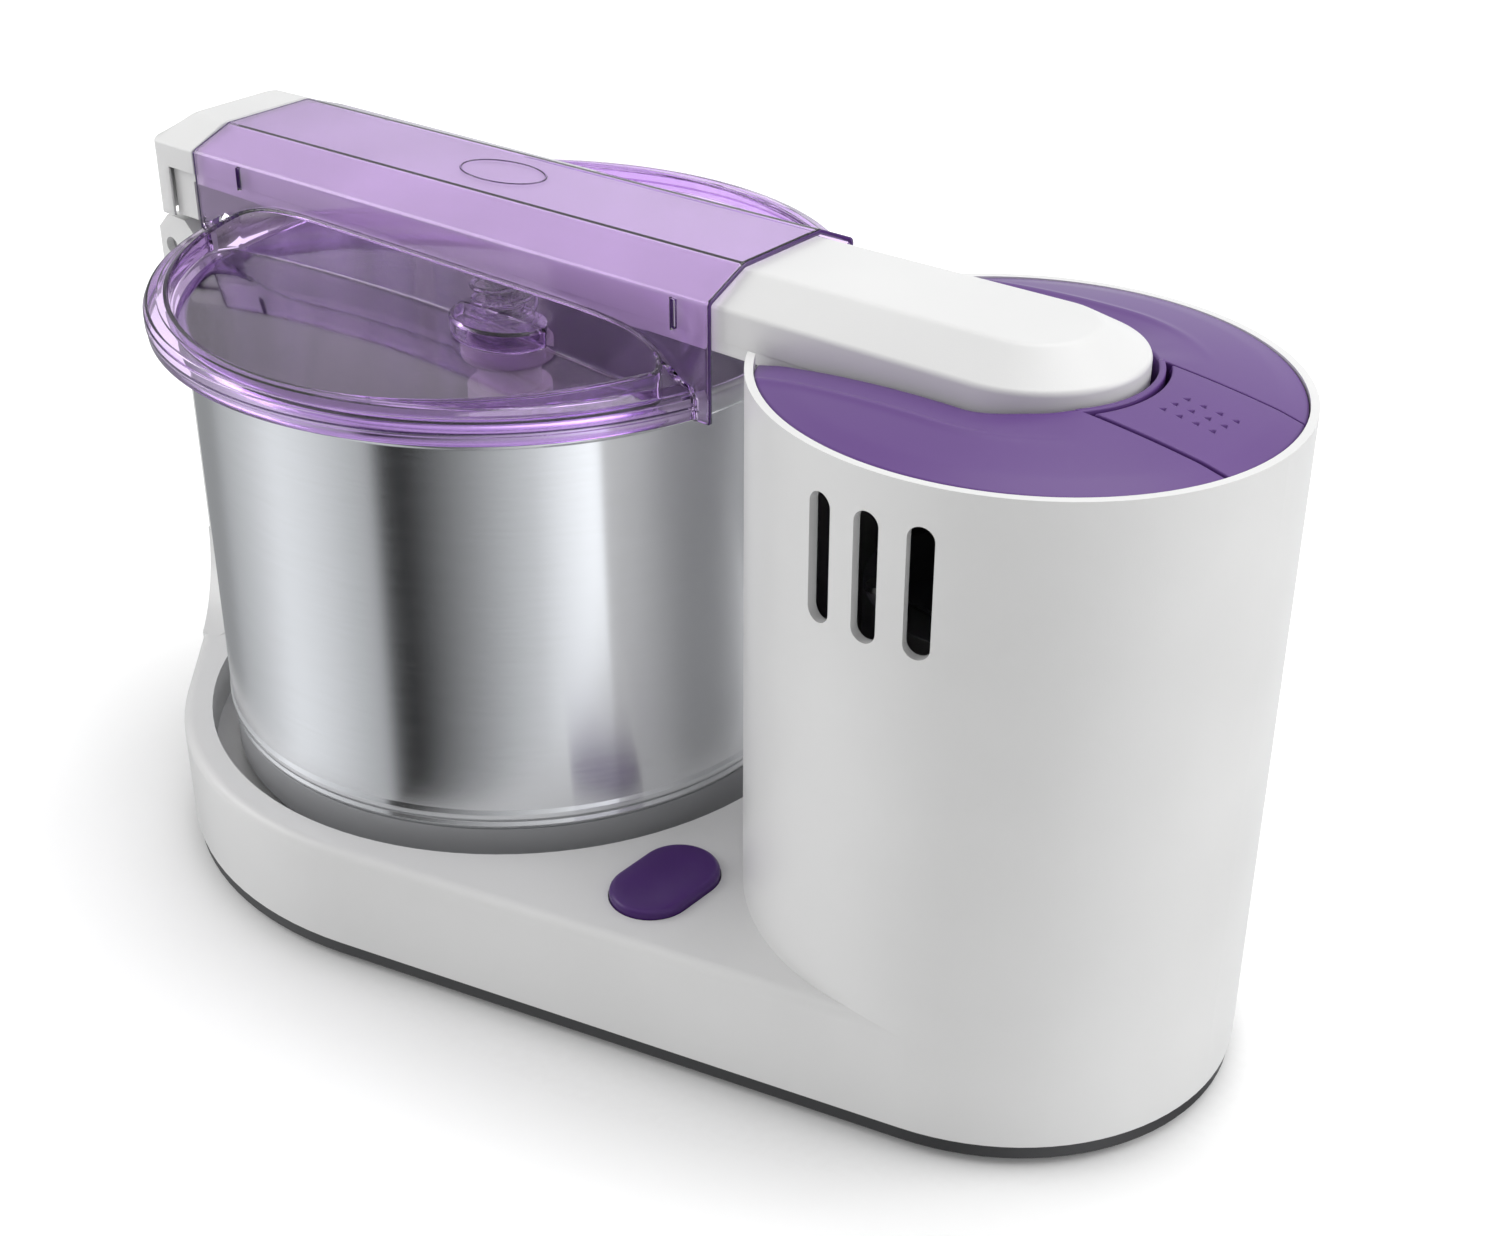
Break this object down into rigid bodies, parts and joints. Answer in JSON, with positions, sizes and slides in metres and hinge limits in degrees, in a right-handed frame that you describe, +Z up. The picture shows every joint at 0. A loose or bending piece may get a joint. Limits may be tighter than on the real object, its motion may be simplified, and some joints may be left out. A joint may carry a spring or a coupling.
{
  "type": "tabletop wet grinder",
  "caption": "Tabletop wet grinder: steel drum on a stone floor with conical grinding stones, hinged arm with a clear lid, and a motor tower with a belt drive.",
  "frame": {"origin": "centre of the footprint, on the surface that the feet stand on", "axes": "+X from the hinge post to the motor tower, +Y to the back, +Z up"},
  "size_m": [0.4316, 0.246, 0.2395],
  "materials": {
    "white_plastic": "satin warm white moulding",
    "purple_plastic": "satin purple moulding",
    "button_plastic": "glossy dark purple moulding",
    "clear_purple": "transparent tinted moulding",
    "dark_plastic": "fine matt texture",
    "grey_ring": "glossy dark grey",
    "foot_rubber": "matt",
    "belt_rubber": "matt",
    "polished_steel": "mirror-polished stainless steel",
    "turned_steel": "turned and ground",
    "plated_steel": "zinc plated",
    "spring_steel": "drawn wire",
    "core_steel": "stacked sheet",
    "cast_aluminium": "die cast",
    "copper": "enamelled wire",
    "granite": "fine ground black granite",
    "white_nylon": "moulded nylon",
    "bronze": "sintered bush",
    "capacitor_can": "drawn can"
  },
  "bodies": {
    "housing": {"base_shell": "white_plastic", "tower_shell": "white_plastic", "hinge_post": "white_plastic", "bottom_plate": "dark_plastic", "rubber_feet": "foot_rubber", "base_screws": "plated_steel", "cord_gland": "dark_plastic", "hinge_pin": "turned_steel", "top_cover": "purple_plastic", "latch_frame": "dark_plastic", "catch_spring": "spring_steel", "release_springs": "spring_steel", "switch_body": "dark_plastic", "power_spring": "spring_steel", "motor_bracket": "plated_steel", "bracket_screws": "plated_steel", "motor_lower_bell": "cast_aluminium", "motor_stator": "core_steel", "stator_windings": "copper", "motor_upper_bell": "cast_aluminium", "motor_tie_bolts": "plated_steel", "capacitor": "capacitor_can", "capacitor_clip": "plated_steel", "drive_belt": "belt_rubber", "bearing_housing": "cast_aluminium", "housing_bolts": "plated_steel", "spindle_bearings": "turned_steel", "roller_bracket": "white_nylon", "axle_bolts": "polished_steel", "scraper": "white_nylon"},
    "arm": {"arm_top": "white_plastic", "arm_lower": "white_plastic", "hinge_leg": "plated_steel", "arm_screws": "plated_steel", "latch_hook": "plated_steel", "plunger_guide": "white_nylon", "pressure_spring": "spring_steel"},
    "plunger": {"pressure_plunger": "turned_steel"},
    "lid": {"lid": "clear_purple"},
    "turntable": {"large_pulley": "cast_aluminium", "spindle": "turned_steel", "drive_plate": "cast_aluminium", "drum_base": "grey_ring", "drum": "polished_steel", "base_stone": "granite", "centre_pin": "polished_steel"},
    "roller_front": {"stone_front": "granite", "bush_front": "bronze"},
    "roller_rear": {"stone_rear": "granite", "bush_rear": "bronze"},
    "rotor": {"motor_rotor": "core_steel", "motor_shaft": "turned_steel", "cooling_fan": "dark_plastic", "small_pulley": "cast_aluminium"},
    "release": {"release_button": "purple_plastic"},
    "catch": {"latch_catch": "white_nylon"},
    "power": {"power_button": "button_plastic"}
  },
  "joints": [
    {"name": "arm_lift", "type": "hinge", "parent": "housing", "child": "arm", "pos_m": [-0.2098, 0, 0.187], "axis": [0, -1, 0], "range_deg": [0, 95]},
    {"name": "lid_lift", "type": "slide", "parent": "arm", "child": "lid", "axis": [0, 0, 1], "range_m": [0, 0.06]},
    {"name": "plunger_slide", "type": "slide", "parent": "arm", "child": "plunger", "axis": [0, 0, 1], "range_m": [0, 0.005], "stiffness_N_per_m": 1500, "springref_m": -0.006, "deforming": ["pressure_spring"]},
    {"name": "drum_spin", "type": "hinge", "parent": "housing", "child": "turntable", "pos_m": [-0.0698, 0, 0.05], "axis": [0, 0, 1], "continuous": true},
    {"name": "roller_front_spin", "type": "hinge", "parent": "housing", "child": "roller_front", "pos_m": [-0.0698, -0.05298, 0.09647], "axis": [0, -0.8829, 0.4695], "continuous": true},
    {"name": "roller_rear_spin", "type": "hinge", "parent": "housing", "child": "roller_rear", "pos_m": [-0.0698, 0.05298, 0.09647], "axis": [0, 0.8829, 0.4695], "continuous": true},
    {"name": "motor_spin", "type": "hinge", "parent": "housing", "child": "rotor", "pos_m": [0.1351, 0, 0.1], "axis": [0, 0, 1], "continuous": true},
    {"name": "release_press", "type": "slide", "parent": "housing", "child": "release", "axis": [0, 0, -1], "range_m": [0, 0.003], "stiffness_N_per_m": 300, "springref_m": -0.004, "deforming": ["release_springs"]},
    {"name": "catch_slide", "type": "slide", "parent": "housing", "child": "catch", "axis": [1, 0, 0], "range_m": [0, 0.003]},
    {"name": "power_press", "type": "slide", "parent": "housing", "child": "power", "axis": [0, 0, -1], "range_m": [0, 0.002], "stiffness_N_per_m": 300, "springref_m": -0.003, "deforming": ["power_spring"]}
  ],
  "couplings": [
    {"joint": "roller_front_spin", "follows": "drum_spin", "ratio": 2.1301},
    {"joint": "roller_rear_spin", "follows": "drum_spin", "ratio": 2.1301},
    {"joint": "motor_spin", "follows": "drum_spin", "ratio": 8.381},
    {"joint": "catch_slide", "follows": "release_press", "ratio": 1}
  ]
}
